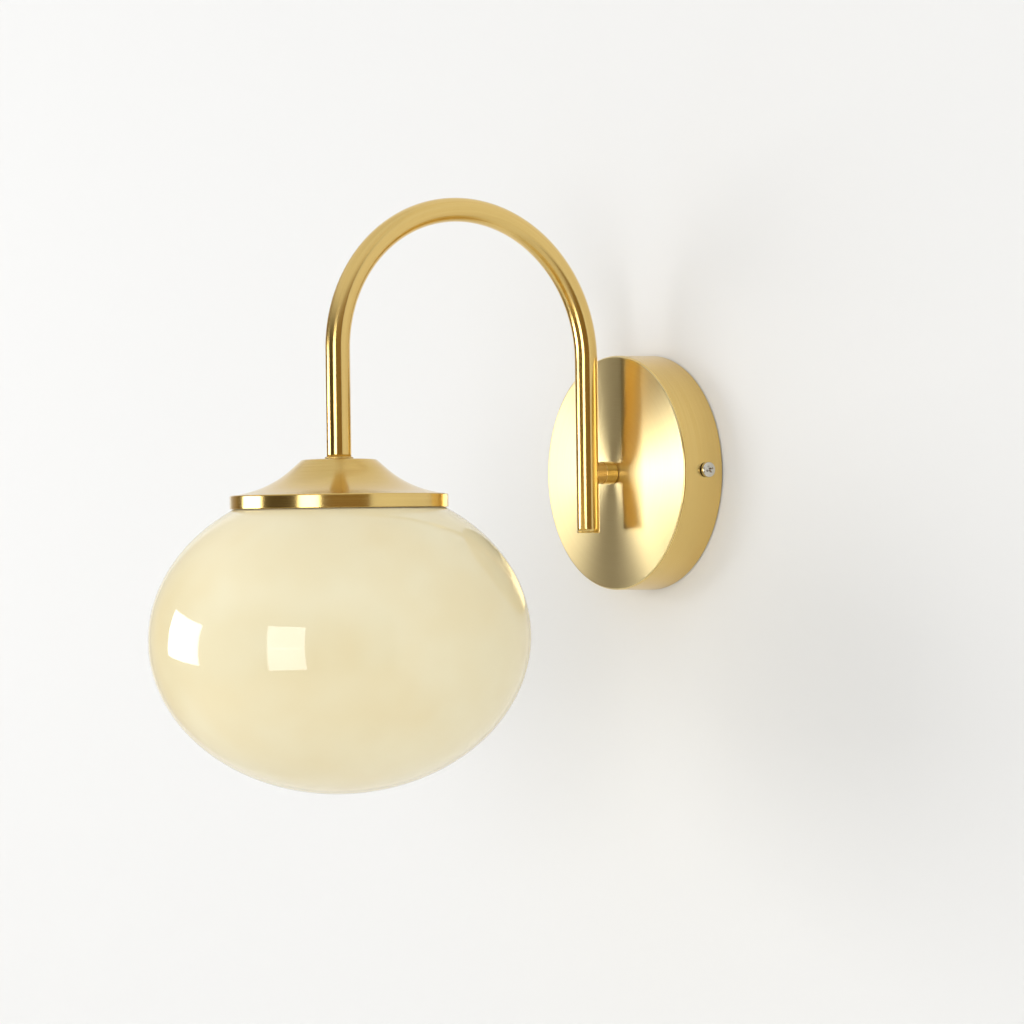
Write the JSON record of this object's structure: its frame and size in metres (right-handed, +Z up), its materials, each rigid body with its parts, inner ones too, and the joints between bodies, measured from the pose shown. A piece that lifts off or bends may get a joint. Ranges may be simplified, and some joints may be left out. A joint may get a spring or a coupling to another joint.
{
  "type": "wall lamp",
  "caption": "Wall lamp with a round brass canopy, a hooked tube arm and a flared fitter that holds a screw-in flattened opal glass globe over a capsule bulb.",
  "frame": {"origin": "on the wall, at the centre of the bracket's cable hole behind the canopy", "axes": "+X to the right seen from the room, +Z up, the lamp stands out from the wall along -Y"},
  "size_m": [0.1758, 0.2663, 0.2801],
  "materials": {
    "satin_brass": "satin brushed brass, clear lacquered",
    "raw_brass": "plain turned brass",
    "nickel": "bright nickel plate",
    "zinc_steel": "zinc-plated pressed steel",
    "tinned_copper": "tinned, dull",
    "opal_glass": "glossy cream opal glass, opaque when unlit",
    "silicone": "soft matt silicone",
    "nylon": "moulded natural nylon",
    "steatite": "unglazed pressed ceramic",
    "live_insulation": "brown silicone wire cover",
    "neutral_insulation": "blue silicone wire cover",
    "earth_insulation": "green and yellow wire cover",
    "bulb_plastic": "moulded white",
    "frosted_cover": "frosted clear cover",
    "led_board": "white-lacquered board"
  },
  "bodies": {
    "fixture": {"canopy": "satin_brass", "stem_sleeve": "satin_brass", "stem_boss": "satin_brass", "arm_tube": "satin_brass", "arm_end_plug": "satin_brass", "fitter_collar_ring": "satin_brass", "fitter_bell": "satin_brass", "arm_outlet_bush": "raw_brass", "terminal_inserts": "raw_brass", "side_screws": "nickel", "lampholder_contacts": "nickel", "wall_bracket": "zinc_steel", "stem_nipple": "zinc_steel", "stem_lock_washer": "zinc_steel", "stem_lock_nut": "zinc_steel", "fitter_nipple": "zinc_steel", "fitter_lock_washer": "zinc_steel", "fitter_lock_nut": "zinc_steel", "globe_gallery": "zinc_steel", "lampholder_bracket": "zinc_steel", "lampholder_rivets": "zinc_steel", "terminal_screws": "zinc_steel", "terminal_fixing_screw": "zinc_steel", "earth_screw": "zinc_steel", "earth_lug": "tinned_copper", "terminal_body": "nylon", "lampholder_body": "steatite", "live_wire": "live_insulation", "neutral_wire": "neutral_insulation", "earth_wire": "earth_insulation"},
    "seal": {"globe_seal": "silicone"},
    "globe": {"globe": "opal_glass", "globe_neck": "opal_glass"},
    "bulb": {"bulb_base": "bulb_plastic", "bulb_pins": "nickel", "bulb_cover": "frosted_cover", "bulb_led_board": "led_board"}
  },
  "joints": [
    {"name": "globe_descend", "type": "slide", "parent": "fixture", "child": "seal", "axis": [0, 0, -1], "range_m": [0, 0.009]},
    {"name": "globe_turn", "type": "hinge", "parent": "seal", "child": "globe", "pos_m": [0, -0.1784, 0], "axis": [0, 0, -1], "range_deg": [0, 810]},
    {"name": "bulb_pull", "type": "slide", "parent": "fixture", "child": "bulb", "axis": [0, 0, -1], "range_m": [0, 0.012]}
  ],
  "couplings": [
    {"joint": "globe_descend", "follows": "globe_turn", "m_per_rad": 0.00063662}
  ]
}
